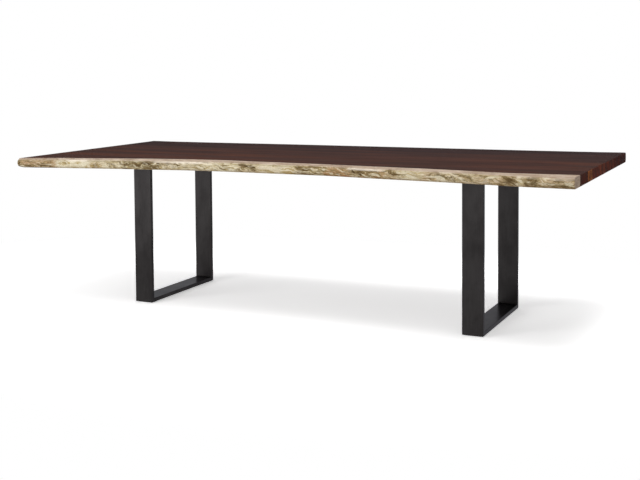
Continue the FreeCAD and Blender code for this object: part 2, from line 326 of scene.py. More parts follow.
def sapwood(name):
    """Sapwood as it lay under the bark: cream and gold streaks, olive patches, brown hollows and cracks."""
    group, sheet, given, results = new_group(
        name, ("Cream", "Gold", "Olive", "Tan", "Brown", "Dark"), ("Hollow", "Weathered", "Warm")
    )
    place = sheet.coords()["Object"]
    drift = sheet.noise(place, (10, 10, 22), detail=3)
    lift = sheet.times(sheet.split(place)["X"], 0.16, sheet.swing(drift, 0.07))
    flow = sheet.moved(place, Z=lift)
    patches = sheet.noise(flow, (11, 11, 50), detail=3, roughness=0.6)
    mottle = sheet.noise(flow, (36, 36, 130), detail=5, roughness=0.7, distortion=0.4)
    streaks = sheet.noise(flow, (16, 40, 210), detail=5, roughness=0.62)
    fibres = sheet.noise(flow, (45, 500, 800), detail=3, roughness=0.6)
    winding = sheet.off_middle(sheet.noise(flow, (40, 40, 110), detail=2, distortion=1))
    bands = sheet.noise(flow, (15, 15, 90), detail=3, roughness=0.6)

    wear = sheet.swing(given["Weathered"], 0.34, mottle, middle=0.45)
    wear = sheet.swing(patches, 0.7, wear)
    wear = sheet.times(given["Hollow"], 0.30, wear)
    wear = sheet.swing(streaks, 0.6, wear)
    cracks = sheet.times(sheet.ease(winding, 0.030, 0.010), sheet.ease(wear, 0.38, 0.56))
    banded = sheet.times(given["Weathered"], 0.6, 0.15)
    surface = sheet.stained(
        sheet.mix(sheet.ease(streaks, 0.46, 0.60), given["Cream"], given["Gold"]),
        (given["Tan"], sheet.ease(mottle, 0.26, 0.50), given["Warm"]),
        (given["Gold"], sheet.ease(wear, 0.40, 0.56), 0.5),
        (given["Olive"], sheet.ease(wear, 0.53, 0.65), 0.85),
        (given["Brown"], sheet.ease(wear, 0.69, 0.84), 0.85),
        (given["Dark"], sheet.ease(wear, 0.84, 0.98), 0.8),
        (given["Dark"], cracks, 0.85),
        (given["Brown"], sheet.ease(bands, 0.48, 0.40), banded),
        (given["Dark"], sheet.ease(bands, 0.41, 0.35), banded),
        (given["Cream"], sheet.ease(bands, 0.56, 0.61), 0.7),
        (given["Olive"], sheet.ease(fibres, 0.50, 0.34), 0.45),
    )
    grooves = sheet.times(mottle, 0.8, sheet.times(fibres, 0.4))
    sheet.fill_all(
        results,
        Color=surface,
        Roughness=sheet.times(streaks, 0.2, 0.9),
        Height=sheet.minus(grooves, cracks),
    )
    return group


def planed_sapwood(name):
    """Greyish pink sapwood where the board is planed, and a broad noise, its glimmer, that also masks the
    painted highlight on the ridge beside it.
    """
    group, sheet, given, results = new_group(name, ("Light", "Dark"), ("Warm",), gives=("Glimmer",))
    place = sheet.coords()["Object"]
    glimmer = sheet.noise(place, (7, 7, 20), detail=3)
    grain = sheet.noise(place, (5, 170, 60), detail=5, roughness=0.65)
    grain = sheet.swing(glimmer, -0.8, grain)
    planed = sheet.mix(sheet.ease(grain, 0.38, 0.64), given["Light"], given["Dark"])
    planed = sheet.stained(planed, (given["Dark"], given["Warm"], 0.6))
    sheet.fill_all(results, Color=planed, Glimmer=glimmer)
    return group


def metal_clouds(name):
    """Faint brush marks along a bar and soft clouds in its dark finish."""
    group, sheet, given, results = new_group(name, ("Light", "Dark"), vectors=("Stretch",))
    place = sheet.coords()["Object"]
    clouds = sheet.noise(place, (14, 14, 7), roughness=0.6)
    marks = sheet.noise(place, given["Stretch"], detail=3)
    tint = sheet.times(marks, 0.35, sheet.times(clouds, 0.75))
    sheet.fill_all(
        results,
        Color=sheet.mix(sheet.ease(tint, 0.38, 0.72), given["Dark"], given["Light"]),
        Roughness=sheet.times(tint, 0.20, 0.20),
        Height=marks,
    )
    return group


def fixing_speckle(name):
    """Fine speckle of a blackened, plated or moulded surface."""
    group, sheet, given, results = new_group(name, ("Light", "Dark"), ("Roughness",), ("Stretch",))
    speckle = sheet.noise(sheet.coords()["Object"], given["Stretch"])
    sheet.fill_all(
        results,
        Color=sheet.mix(speckle, given["Dark"], given["Light"]),
        Roughness=sheet.swing(speckle, 0.2, given["Roughness"]),
        Height=speckle,
    )
    return group


EFFECTS = {
    "Heartwood Grain": heartwood_grain,
    "Sapwood": sapwood,
    "Planed Sapwood": planed_sapwood,
    "Metal Clouds": metal_clouds,
    "Fixing Speckle": fixing_speckle,
}


def sheet_of(block):
    """Empty node sheet of a material or a world."""
    block.use_nodes = True
    return NodeSheet(block.node_tree)


def new_finish(name):
    """Empty material with a Principled shader on its output."""
    material = bpy.data.materials.new(name)
    sheet = sheet_of(material)
    shader = sheet.add("BsdfPrincipled")
    sheet.add("OutputMaterial", {"Surface": shader.outputs["BSDF"]})
    return material, sheet, shader.inputs


def add_bump(sheet, shader, height, strength, distance):
    bump = sheet.add("Bump", {"Height": height, "Strength": strength, "Distance": distance})
    sheet.fill(shader["Normal"], bump.outputs["Normal"])


def finish_from(name, effect, values, bump, **constants):
    """Material whose colour, roughness and relief come from one shared effect."""
    material, sheet, shader = new_finish(name)
    given = sheet.group(effect, **values)
    sheet.fill_all(shader, Base_Color=given["Color"], Roughness=given["Roughness"], **constants)
    add_bump(sheet, shader, given["Height"], bump, 0.1 * MM)
    return material


def dress(obj, material):
    obj.data.materials.clear()
    obj.data.materials.append(material)


# ---- Shaping ----

SHARP_ANGLE = math.radians(50)
SEAM_GAP = 1e-7  # points of a new skin that are closer than this are one
NODE_GAP = 1e-6  # and points of a node's mesh


def finished_mesh(bm, name):
    mesh = bpy.data.meshes.new(name)
    bm.to_mesh(mesh)
    bm.free()
    return mesh


def new_object(name, data):
    obj = bpy.data.objects.new(name, data)
    bpy.context.scene.collection.objects.link(obj)
    return obj


def rolled_skin(name, stations, loop, place, layers=()):
    """Closed skin: a grid rolled round a loop of points at each station, its seam merged and its ends capped.

    place(i, j) gives a point of the skin and the values of its named layers.
    """
    bm = bmesh.new()
    stores = [bm.verts.layers.float.new(layer) for layer in layers]
    bmesh.ops.create_grid(bm, x_segments=stations - 1, y_segments=loop, size=0.5)
    for vert in bm.verts:
        i = round((vert.co.x + 0.5) * (stations - 1))
        j = round((vert.co.y + 0.5) * loop) % loop
        vert.co, values = place(i, j)
        for store, value in zip(stores, values):
            vert[store] = value
    bmesh.ops.remove_doubles(bm, verts=bm.verts, dist=SEAM_GAP)
    bmesh.ops.edgeloop_fill(bm, edges=[edge for edge in bm.edges if edge.is_boundary])
    bmesh.ops.recalc_face_normals(bm, faces=bm.faces)
    return finished_mesh(bm, name)


def new_piece(name, mesh, replaced):
    """Object for a finished mesh, riding on the table and standing for a node of the frame."""
    mesh.shade_smooth()
    mesh.set_sharp_from_angle(angle=SHARP_ANGLE)
    obj = new_object(name, mesh)
    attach(obj, "root")
    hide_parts(replaced)
    return obj


def surface_tree(node):
    """Search tree of a node's surface, from a merged copy of its mesh."""
    bm = bmesh.new()
    bm.from_mesh(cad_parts[node].data)
    bmesh.ops.remove_doubles(bm, verts=bm.verts, dist=NODE_GAP)
    tree = BVHTree.FromBMesh(bm)
    bm.free()
    return tree


def softened(values, passes, axis):
    """Values averaged with their neighbours along an axis, the first and the last left as they are."""
    values = np.moveaxis(values, axis, 0).copy()
    for _ in range(passes):
        values[1:-1] = (values[:-2] + 2 * values[1:-1] + values[2:]) / 4
    return np.moveaxis(values, 0, axis)


def eased(value, low, high):
    """0 at low, 1 at high, and a smooth step between them."""
    share = np.clip((value - low) / (high - low), 0, 1)
    return share * share * (3 - 2 * share)


def wave(x, z, along, up, seed):
    """Smooth noise that changes about so many times in a metre along the table and up its edge."""
    return noise.noise(Vector((x * along, z * up, seed)))


# Marks along a natural edge where branches and bark came away, in millimetres: place along the table, height
# above the underside, half length, half height, fall from the middle to the right end, depth, and how dark
# each is (below 0 is pale).
FRONT_MARKS = (
    (-1372, 22, 8, 22, 0, 0, 0.8), (-1330, 14, 30, 7, 0, 1, 0.6), (-1262, 13, 46, 5, 2, 1.5, 1),
    (-1240, 22, 34, 3, 3, 1.2, 0.8), (-1120, 12, 90, 3, 0, 0.8, 0.5), (-985, 36, 48, 4, 0, 1.2, 0.6),
    (-905, 38, 16, 3, 1, 0.8, 0.7), (-800, 20, 36, 13, 2, 2, 0.5), (-735, 30, 36, 12, 4, 3.2, 1),
    (-690, 16, 26, 6, 3, 1.2, 0.6), (-640, 23, 40, 9, 3, 1.6, 0.5), (-566, 27, 15, 5, 5, 3, 1.3),
    (-530, 14, 30, 2, 0, 1.2, 0.8), (-412, 40, 26, 3, 2, 1.6, 0.8), (-318, 30, 52, 2, 1, 1, 0.8),
    (-330, 12, 50, 2, 0, 0.8, 0.6), (-222, 36, 26, 8, 7, 3, 0.9), (-172, 26, 28, 12, 8, 4, 0.8),
    (-135, 24, 15, 10, 0, -0.6, -0.9), (-60, 36, 70, 3, 0, 1.2, 0.6), (30, 34, 16, 5, 12, -0.8, -1.2),
    (78, 35, 26, 6, 2, 3, 1.2), (100, 22, 30, 8, 0, 1.6, 0.7), (180, 39, 66, 3, 0, 2, 0.9),
    (300, 12, 60, 3, 0, 1.4, 0.7), (300, 30, 80, 8, 2, 0.6, 0.3), (358, 30, 15, 4, 13, 3.6, 1.6),
    (388, 22, 40, 5, 8, 2, 0.9), (430, 25, 70, 14, 4, 0.8, 0.5), (440, 10, 50, 4, 0, 1.6, 0.8),
    (478, 26, 34, 9, 6, 2.4, 0.5), (530, 36, 22, 7, -4, 3.2, 1.1), (566, 28, 20, 10, 0, 2.6, 0.9),
    (612, 20, 30, 6, 4, 1.2, 0.6), (740, 16, 24, 5, 0, 1.2, 0.6), (800, 22, 46, 9, 5, 2.4, 0.8),
    (850, 38, 46, 3, 0, 2.2, 0.9), (905, 32, 34, 6, 6, 2.8, 0.8), (985, 37, 40, 4, 2, 2, 0.9),
    (1020, 26, 40, 4, 6, 1.6, 0.8), (1096, 30, 30, 10, 8, 3, 0.7), (1142, 30, 9, 16, 5, -0.8, -1.2),
    (1184, 32, 34, 9, 2, 2.6, 0.5), (1196, 16, 34, 6, 0, 1.6, 0.4), (1290, 10, 80, 4, 2, 1.4, 0.7),
    (1310, 30, 50, 3, 4, 1.2, 0.6), (1352, 13, 26, 6, 0, 2.4, 0.5), (1354, 39, 20, 5, 0, 0, -1.2),
)
REAR_MARKS = (
    (-1210, 24, 70, 8, 3, 2, 0.8), (-960, 32, 40, 7, 4, 3, 0.9), (-700, 20, 90, 7, 2, 2.4, 0.7),
    (-430, 30, 34, 10, 6, 3.6, 1.1), (-140, 17, 80, 5, 2, 1.8, 0.8), (120, 33, 44, 6, 3, 2.6, 0.9),
    (380, 24, 60, 11, 6, 4, 0.9), (690, 36, 60, 4, 0, 1.6, 0.9), (900, 19, 36, 8, 4, 3.2, 1.1),
    (1180, 28, 70, 8, 3, 2.2, 0.8),
)

# How a natural edge changes along the table, in stretches from the left end: where each stretch ends in
# millimetres, how weathered it is, how warm its colour, and how much painted highlight its upper ridge gets,
# where low values paint shade there instead.
FRONT_STRETCHES = (
    (-1362, 0.80, 0.30, 0.1), (-1290, 0.45, 0.70, 0.2), (-1200, 0.22, 0.60, 0.1),
    (-1150, 0, 0, 0.2), (-1035, 0, 0, 1), (-940, 0.15, 0.15, 0.2),
    (-850, 0.30, 0.05, 0.1), (-700, 0.80, 0, 0.1), (-640, 0.60, 0.10, 0.7),
    (-600, 0.45, 0.20, 1), (-440, 0.22, 0.10, 1), (-370, 0.26, 0, 0.5),
    (-240, 0.20, 0, 0.1), (-140, 0.60, 0.20, 0.1), (60, 0, 0.10, 0),
    (120, 0.60, 0.20, 0), (210, 0.72, 0.10, 0), (340, 0.42, 0.95, 0.1),
    (380, 0.65, 0.50, 0.8), (460, 0.85, 0.90, 1), (520, 0.65, 0.90, 0.8),
    (580, 0.42, 0.40, 0), (620, 0.32, 0.15, 0), (700, 0, 0.05, 0),
    (770, 0.25, 0.45, 0.1), (870, 0.42, 0.15, 0.2), (960, 0.42, 0.30, 0),
    (1060, 0.24, 0.40, 0), (1132, 0.72, 0.60, 0), (1155, 0, 0, 0.4),
    (1230, 0.55, 0.45, 0.2), (1380, 0.52, 0.50, 0.4),
)
REAR_STRETCHES = (
    (-1150, 0.75, 0.30, 0.2), (-900, 0.30, 0.10, 0.8), (-640, 0.85, 0.50, 0.1),
    (-380, 0.45, 0.10, 0.5), (-90, 0.20, 0.05, 1), (160, 0.75, 0.60, 0.1),
    (420, 0.60, 0.20, 0.4), (700, 0.20, 0.10, 0.9), (960, 0.80, 0.30, 0.1),
    (1200, 0.40, 0.70, 0.5), (1380, 0.65, 0.20, 0.2),
)

# Widths of the sapwood at even steps from the left end to the right, in millimetres.
FRONT_SAP_WIDTHS = (31, 14, 58, 56, 46, 43, 62, 48, 112)
REAR_SAP_WIDTHS = (9, 9)

# What the skin of a natural edge carries for its finish: the distance past the sapwood's border, the darkness
# of the marks, how weathered and how warm it is, and how much painted highlight its ridge gets, where low
# values paint shade there instead.
LAYERS = ("sap_border", "hollow", "weathered", "warm", "pale")

ROUNDING_STEPS = 5  # cross-sections in the rounding of a sawn end
RAY_INSET = 0.1 * MM  # rays stay this far inside the upper face and the underside
PASSES_ALONG = 40  # softening of the measured edge along the table
PASSES_DOWN = 5  # and down its height
SAP_PASSES = 1200  # softening of the sapwood's width
STRETCH_PASSES = 8  # softening of the borders between the stretches
STRETCH_WANDER = 22 * MM  # and how far they stray
TIP_HEIGHTS = (-0.1, 0.3)  # parts of the height between which a tip's filling sets in
FOOT_FADE = 0.12  # part of the height over which the carving sets in from the underside
BROW_FADE = 0.93  # part of the height from which it fades towards the upper face
FADED_CARVING = 0.15  # what is left of it at both arrises
FLAT_SHARES = (0, 0.5, 0.8)  # points across a flat face, from the joint towards its margin
FLAT_MARGINS = (12 * MM, 4 * MM)  # and its last two, as distances from the edge
BROW_DROP = 0.5 * MM  # how far the first point of the edge lies below the upper face
SIDE_ROUNDING = 0.6  # how much of a sawn end's rounding goes round the natural edge


def marks_over(x, z, marks, seed):
    """Depth in metres and darkness that the marks give at each point of an edge."""
    depth = np.zeros_like(x)
    dark = np.zeros_like(x)
    ragged = np.vectorize(lambda a, b: wave(a, b, 34, 110, seed) + 0.6 * wave(a, b, 95, 260, seed))(x, z)
    for along, height, half_length, half_height, fall, deep, darkness in marks:
        u = (x - along * MM) / (half_length * MM)
        v = (z - (height - fall * u) * MM) / (half_height * MM)
        inside = 1 - eased(np.hypot(u, v) + 0.9 * ragged, 0.35, 1.15)
        depth += inside * deep * MM
        shade = inside * darkness
        dark = np.where(np.abs(shade) > np.abs(dark), shade, dark)
    return depth, dark


def character_over(x, z, stretches, seed):
    """How weathered and warm the edge is, and how much painted highlight rather than painted shade its ridge
    gets, with ragged borders between its stretches.
    """
    ends = np.array([stretch[0] for stretch in stretches[:-1]]) * MM
    ragged = np.vectorize(lambda a, b: wave(a, b, 22, 70, seed + 19))(x, z)
    place = np.searchsorted(ends, x + STRETCH_WANDER * ragged)
    return [softened(np.array(kind)[place], STRETCH_PASSES, 0) for kind in list(zip(*stretches))[1:]]


def relief_over(x, z, settings, seed):
    """Swells, long ridges and broken plates of the wood that lay under the bark, as a depth in metres."""
    def depth_at(a, b):
        swell = wave(a, b, 7, 16, seed)
        bend = 0.006 * wave(a, 1, 12, 5, seed)
        ridge = abs(wave(a, b + bend, 11, 95, seed + 3))
        small = wave(a, b, 45, 210, seed + 7)
        plate = eased(noise.noise(Vector((a * 17 + b * 24, b * 46, seed + 11))), -0.05, 0.11)
        ridges = settings.ridges * (1 - 1.6 * ridge + 0.35 * small)
        return settings.swell * (0.5 + swell) + ridges + settings.plates * plate

    relief = np.vectorize(depth_at)(x, z)
    return relief - relief.mean()


def end_stations(half, arris, pitch):
    """Places of the cross-sections along the table, closer together in the rounding of each sawn end."""
    rounding = arris * (1 - np.cos(np.arange(ROUNDING_STEPS) * math.pi / (2 * ROUNDING_STEPS)))
    middle = np.linspace(-half + arris, half - arris, round(2 * (half - arris) / pitch) + 1)
    return np.concatenate((rounding - half, middle, half - rounding[::-1]))


def measured_reach(node, side, start, stations, heights):
    """How far out a node's natural edge lies at each station and height, softened."""
    tree = surface_tree(node)
    reach = np.zeros((len(stations), len(heights)))
    for i, x in enumerate(stations):
        for j, z in enumerate(heights):
            hit = tree.ray_cast(Vector((x, start, z)), Vector((0, side, 0)))[0]
            if hit is None:
                raise RuntimeError(node + " has no edge at x = " + str(round(float(x), 4)))
            reach[i, j] = side * hit.y
    return softened(softened(reach, PASSES_ALONG, 0), PASSES_DOWN, 1)


def sapwood_widths(stations, half, widths, seed):
    """Width of the sapwood at each station, with a slight wander of its border."""
    even = np.linspace(-half, half, len(widths))
    smooth = softened(np.interp(stations, even, widths) * MM, SAP_PASSES, 0)
    wander = np.array([wave(x, 0, 3.2, 0, seed) + 0.4 * wave(x, 1, 17, 4, seed) for x in stations])
    return smooth * (1 + 0.1 * wander)


def sculpt_board(node, name, side, marks, stretches, sap_widths, seed, settings):
    """One outer board: its natural edge taken from the frame, softened and carved."""
    low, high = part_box(node)
    thickness = high.z - low.z
    half = high.x
    joint, edge = (high.y, low.y) if side < 0 else (low.y, high.y)
    arris = settings.end_arris
    stations = end_stations(half, arris, settings.station_pitch)
    steps = np.linspace(0, 1, settings.levels)
    levels = thickness * (1 - (steps + (1 - np.cos(math.pi * steps)) / 2) / 2)
    within = np.clip(stations, arris - half, half - arris)
    heights = low.z + np.clip(levels, RAY_INSET, thickness - RAY_INSET)
    reach = measured_reach(node, side, joint + side * MM, within, heights)
    fullest = reach.max(axis=1)

    xs, zs = np.meshgrid(stations, levels, indexing="ij")
    bluntness = settings.tip_fill * (1 - eased(half - np.abs(xs), 0, settings.tip_length))
    filling = eased(zs, TIP_HEIGHTS[0] * thickness, TIP_HEIGHTS[1] * thickness)
    reach += bluntness * (fullest[:, None] - reach) * filling
    depth, dark = marks_over(xs, zs, marks, seed)
    face_share = eased(zs, 0, FOOT_FADE * thickness) * (1 - eased(zs, BROW_FADE * thickness, thickness))
    strength = FADED_CARVING + (1 - FADED_CARVING) * face_share
    reach = np.minimum(reach - (relief_over(xs, zs, settings, seed) + depth) * strength, abs(edge))
    dark = dark * face_share
    weathered, warm, pale = character_over(xs, zs, stretches, seed)
    sap_width = sapwood_widths(stations, half, sap_widths, seed)

    joint_reach = side * joint
    flat_count = len(FLAT_SHARES) + len(FLAT_MARGINS)
    loop = 2 * flat_count + len(levels)

    def flat_reach(edge_reach, order):
        """Distance out to a point of the flat faces, counted from the joint to the edge."""
        if order < len(FLAT_SHARES):
            return joint_reach + FLAT_SHARES[order] * (edge_reach - FLAT_MARGINS[0] - joint_reach)
        return edge_reach - FLAT_MARGINS[order - len(FLAT_SHARES)]

    def place(i, j):
        x = stations[i]
        inset = arris - min(half - abs(x), arris)
        rounded = arris - math.sqrt(max(arris ** 2 - inset ** 2, 0))
        k = min(max(j - flat_count, 0), len(levels) - 1)
        darkness = 0.0
        if j < flat_count:
            y, z = flat_reach(reach[i, 0], j), thickness
        elif j < flat_count + len(levels):
            y, z = reach[i, k], levels[k]
            darkness = dark[i, k]
            z = min(z, thickness - BROW_DROP) if k == 0 else z
        else:
            y, z = flat_reach(reach[i, -1], loop - 1 - j), 0.0
        inward = fullest[i] - y
        z = rounded + z * (thickness - 2 * rounded) / thickness
        y = y if j in (0, loop - 1) else y - SIDE_ROUNDING * rounded
        values = (inward - sap_width[i], darkness, weathered[i, k], warm[i, k], pale[i, k])
        return Vector((x, side * y, low.z + z)), values

    return rolled_skin(name, len(stations), loop, place, LAYERS)


# ---- Wood ----

WOOD_GLOSS = 0.015  # oiled wood shines very little

# Parts of a natural edge's height between which a mask sets in.
PLANED_BROW = (0.80, 0.90)
PLANED_FOOT = (0.012, 0.004)
# Band of the ridge, where painted highlight and painted shade are laid.
RIDGE_LIGHT_FOOT = (0.62, 0.74)
RIDGE_LIGHT_BROW = (0.90, 0.82)
# Painted shade: part of the height over which the foot of the natural edge is darkened, as if shaded by the
# undercut.
SHADED_FOOT = (0.24, 0.02)
HEART_BORDER = (-1.5 * MM, 2.5 * MM)  # distances past the sapwood's border between which heartwood sets in
BORDER_WAVER = 6 * MM  # and how far that border strays

# Heartwood of each board: where its grain starts, how red its streaks are, its tint, and how light and how
# amber its end grain is. The tints are partly each board's own tone and partly painted shade, darker and
# cooler towards the rear of the top.
BOARD_LOOKS = {
    "front_live_edge_board": (3.7, 0.5, (0.97, 0.97, 0.97), 0.42, 0.0),
    "heartwood_board_1": (1.3, 1.0, (1.08, 1.08, 1.08), 1.2, 0.95),
    "heartwood_board_2": (5.1, 0.45, (0.9, 0.91, 0.92), 0.8, 0.0),
    "heartwood_board_3": (2.4, 0.9, (0.92, 0.95, 0.99), 1.0, 0.1),
    "heartwood_board_4": (7.9, 0.5, (0.78, 0.85, 0.94), 0.65, 0.0),
    "heartwood_board_5": (4.6, 0.4, (0.68, 0.78, 0.9), 0.7, 0.1),
    "rear_live_edge_board": (9.2, 0.4, (0.64, 0.75, 0.9), 0.4, 0.0),
}
INNER_BOARDS = 5
# Each board with a natural edge: which way that edge faces, its marks, its stretches, the widths of its
# sapwood and the seed of its relief.
LIVE_EDGES = {
    "front": (-1, FRONT_MARKS, FRONT_STRETCHES, FRONT_SAP_WIDTHS, 11.0),
    "rear": (1, REAR_MARKS, REAR_STRETCHES, REAR_SAP_WIDTHS, 47.0),
}


def heartwood_of(node, sheet, settings):
    """The heartwood grain with the looks of one board."""
    offset, redness, tint, end_tone, amber = BOARD_LOOKS[node]

    # Painted shade: besides each board's own tone, the tint darkens and cools the boards towards the rear.
    def tinted(base):
        return [share * part for share, part in zip(tint, base)]

    end_colours = zip(settings.heart_end, settings.heart_amber)
    return sheet.group(
        "Heartwood Grain",
        Dark=tinted(settings.heart_dark),
        Middle=tinted(settings.heart_middle),
        Red=tinted(settings.heart_red),
        End=[end_tone * (red + amber * (gold - red)) for red, gold in end_colours],
        Offset=offset,
        Redness=redness,
    )


def oil(sheet, shader, tone, roughness, settings):
    """Give wood its colour, and a roughness that varies about that of the oil."""
    roughness = sheet.times(roughness, settings.wood_roughness)
    sheet.fill_all(shader, Base_Color=tone, Roughness=roughness, Specular_IOR_Level=WOOD_GLOSS)


def heartwood_finish(name, node, settings):
    """Oiled heartwood of one inner board."""
    material, sheet, shader = new_finish(name)
    grain = heartwood_of(node, sheet, settings)
    oil(sheet, shader, grain["Color"], grain["Roughness"], settings)
    add_bump(sheet, shader, grain["Height"], 0.25, 0.2 * MM)
    return material


def live_edge_finish(name, node, underside, thickness, settings):
    """Heartwood of an outer board that turns to sapwood towards its natural edge."""
    material, sheet, shader = new_finish(name)
    skin = {}
    for layer in LAYERS:
        skin[layer] = sheet.add("Attribute", attribute_name=layer).outputs["Fac"]
    place = sheet.coords()["Object"]
    height = sheet.math("DIVIDE", sheet.minus(sheet.split(place)["Z"], underside), thickness)
    planed = sheet.math("MAXIMUM", sheet.ease(height, *PLANED_BROW), sheet.ease(height, *PLANED_FOOT))
    wild = sheet.minus(1, planed)
    # Band of the ridge, where painted highlight and painted shade are laid.
    ridge = sheet.times(sheet.ease(height, *RIDGE_LIGHT_FOOT), sheet.ease(height, *RIDGE_LIGHT_BROW))
    heart = heartwood_of(node, sheet, settings)
    rose = sheet.group(
        "Planed Sapwood", Light=settings.sap_rose, Dark=settings.sap_rose_dark, Warm=skin["warm"]
    )
    sap = sheet.group(
        "Sapwood",
        Cream=settings.sap_cream,
        Gold=settings.sap_gold,
        Olive=settings.sap_olive,
        Tan=settings.sap_tan,
        Brown=settings.bark_brown,
        Dark=settings.bark_dark,
        Hollow=skin["hollow"],
        Weathered=sheet.times(skin["weathered"], wild),
        Warm=sheet.times(skin["warm"], wild),
    )
    # Painted highlight: the mask of the near-white glint along the ridge.
    painted_glint = sheet.times(skin["pale"], sheet.ease(rose["Glimmer"], 0.30, 0.50))
    end_rose = sheet.mix(heart["Rings"], settings.sap_rose, settings.sap_rose_dark)
    sap_colour = sheet.stained(
        sap["Color"],
        # Painted shade: where the ridge gets no highlight it is darkened towards olive, so that it looks less
        # lit.
        (settings.sap_olive, sheet.times(ridge, sheet.minus(1, skin["pale"])), 0.4),
        # Painted highlight: near-white colour laid on the ridge where it should catch the light.
        (settings.sap_ridge, sheet.times(ridge, painted_glint), 0.6),
        # Painted shade: the foot of the natural edge darkened towards brown.
        (settings.bark_brown, sheet.ease(height, *SHADED_FOOT), 0.5),
        (rose["Color"], planed, 0.85),
        (end_rose, heart["Sawn End"], 0.75),
    )
    waver = sheet.noise(place, (22, 220, 220))
    border = sheet.swing(waver, BORDER_WAVER, skin["sap_border"])
    is_heart = sheet.ease(border, *HEART_BORDER)
    roughness = sheet.times(heart["Roughness"], sap["Roughness"])
    oil(sheet, shader, sheet.mix(is_heart, sap_colour, heart["Color"]), roughness, settings)
    add_bump(sheet, shader, sheet.between(is_heart, sap["Height"], heart["Height"]), 0.6, 0.5 * MM)
    return material


class TABLE_OT_sculpt_live_edges(bpy.types.Operator):
    """Sculpt the two outer boards with their natural edges"""

    bl_idname = "table.sculpt_live_edges"
    bl_label = "Sculpt Live Edges"

    def execute(self, context):
        edge = context.scene.table_edge
        wood = context.scene.table_wood
        low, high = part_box("front_live_edge_board")
        for end, carving in LIVE_EDGES.items():
            name = end + "_live_edge"
            node = name + "_board"
            piece = new_piece(name, sculpt_board(node, name, *carving, edge), node)
            dress(piece, live_edge_finish(end.title() + " Live Edge", node, low.z, high.z - low.z, wood))
        return {"FINISHED"}


class TABLE_OT_finish_heartwood(bpy.types.Operator):
    """Oil the inner boards, each with its own grain"""

    bl_idname = "table.finish_heartwood"
    bl_label = "Finish Heartwood"

    def execute(self, context):
        for order in range(1, INNER_BOARDS + 1):
            node = "heartwood_board_" + str(order)
            finish = heartwood_finish("Heartwood " + str(order), node, context.scene.table_wood)
            dress(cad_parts[node], finish)
        return {"FINISHED"}


# ---- Steel and fixings ----

WELD_LEG = 6 * MM  # leg of a bead, as of the welds in the frame
FACE_POINTS = 9  # points across a bead's face
RIPPLE_STATIONS = 6  # cross-sections in one ripple
RIPPLE_LAG = 0.9  # how far the middle of a ripple trails its sides, in radians
FACE_HOLLOW = 0.16  # how far a bead's face lies inside its straight slope, as a part of its leg
END_HOLLOW = 0.25  # and how much further at its ends
SPECKLE_SHADE = 0.7  # how dark the speckles of the fixings are

# Fixings: the name and the colour setting of their finish, how metallic and how rough it is, and how fine its
# speckle is.
FIXINGS = {
    "rail_bolts": ("Black Oxide", "black_oxide", 1.0, 0.42, 300),
    "threaded_inserts": ("Insert Brass", "brass", 1.0, 0.38, 200),
    "floor_pads": ("Solid Rubber", "rubber", 0.0, 0.85, 900),
}


def gunmetal_finish(name, stretch, settings, bump=0.08):
    """Dark satin finish on steel bar: a metal that stays dark where it is seen at a slant."""
    values = {"Light": settings.gunmetal, "Dark": settings.gunmetal_dark, "Stretch": stretch}
    gloss = {"Metallic": 0.8, "Specular_IOR_Level": 0.2, "Specular_Tint": (0.4, 0.4, 0.42)}
    return finish_from(name, "Metal Clouds", values, bump, **gloss)


class TABLE_OT_finish_leg_frames(bpy.types.Operator):
    """Give the bars of both leg frames their dark satin finish"""

    bl_idname = "table.finish_leg_frames"
    bl_label = "Finish Leg Frames"

    def execute(self, context):
        steel = context.scene.table_steel
        upright = gunmetal_finish("Gunmetal Upright", (420, 420, 9), steel)
        level = gunmetal_finish("Gunmetal Level", (420, 9, 420), steel)
        bars = {"front_post": upright, "rear_post": upright, "floor_runner": level, "top_rail": level}
        for side in SIDES:
            for bar, finish in bars.items():
                dress(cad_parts[side + "_" + bar], finish)
        return {"FINISHED"}


class TABLE_OT_lay_weld_beads(bpy.types.Operator):
    """Lay a rippled weld bead in each inner corner of both leg frames"""

    bl_idname = "table.lay_weld_beads"
    bl_label = "Lay Weld Beads"

    def execute(self, context):
        steel = context.scene.table_steel
        finish = gunmetal_finish("Gunmetal Bead", (160, 160, 160), steel, bump=0.2)
        for side in SIDES:
            node = side + "_frame_welds"
            low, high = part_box(node)
            posts = (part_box(side + "_front_post")[1].y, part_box(side + "_rear_post")[0].y)
            heights = (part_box(side + "_floor_runner")[1].z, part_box(side + "_top_rail")[0].z)
            together = bmesh.new()
            for y, into_y in zip(posts, (1, -1)):
                for z, into_z in zip(heights, (1, -1)):
                    bead = self.bead_mesh(low.x, high.x, Vector((0, y, z)), into_y, into_z, steel)
                    together.from_mesh(bead)
                    bpy.data.meshes.remove(bead)
            name = side + "_weld_beads"
            dress(new_piece(name, finished_mesh(together, name), node), finish)
        return {"FINISHED"}

    def bead_mesh(self, start, end, corner, into_y, into_z, settings):
        """One bead between two bars: a filled corner whose face is rippled where each pool of metal froze."""
        stations = round((end - start) / (settings.bead_pitch / RIPPLE_STATIONS)) + 1

        def place(i, j):
            x = start + (end - start) * i / (stations - 1)
            if j == 0:
                return Vector((x, corner.y, corner.z)), ()
            angle = math.pi / 2 * (j - 1) / (FACE_POINTS - 1)
            bow = math.sin(2 * angle)
            pool = abs(math.sin(math.pi * (x - start) / settings.bead_pitch + RIPPLE_LAG * bow))
            taper = min(1, (x - start) / WELD_LEG, (end - x) / WELD_LEG)
            hollow = FACE_HOLLOW + (1 - taper) * END_HOLLOW
            flat = Vector((0, math.cos(angle), math.sin(angle)))
            flat = flat / (flat.y + flat.z)
            out = flat * WELD_LEG * (1 - hollow * bow) - flat * settings.bead_ripple * bow * pool
            return Vector((x, corner.y + into_y * out.y, corner.z + into_z * out.z)), ()

        return rolled_skin("bead", stations, FACE_POINTS + 1, place)


